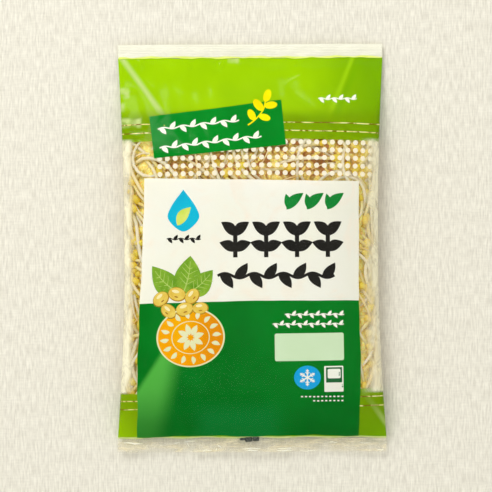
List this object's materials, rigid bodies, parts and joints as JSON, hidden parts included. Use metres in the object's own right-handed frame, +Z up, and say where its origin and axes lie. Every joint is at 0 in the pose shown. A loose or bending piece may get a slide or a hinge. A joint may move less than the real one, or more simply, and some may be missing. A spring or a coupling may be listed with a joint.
{
  "type": "bag of soybean sprouts",
  "caption": "Sealed pillow bag of clear printed film with a back seam and two crimped end seals, filled with fresh soybean sprouts and lying on its back.",
  "frame": {"origin": "on the surface that the bag lies on, under the middle of the bag's outline", "axes": "+Y from the bottom seal to the top seal, +Z up through the printed front, +X to the right as the print is read"},
  "size_m": [0.201, 0.305, 0.0327],
  "materials": {
    "printed_film": "gloss",
    "back_film": "gloss",
    "seal_film": "satin",
    "sprout": "satin"
  },
  "bodies": {
    "root": {"film_front": "printed_film", "film_back": "back_film", "back_seam": "seal_film", "seal_top": "seal_film", "seal_bottom": "seal_film", "sprouts": "sprout"}
  },
  "joints": []
}
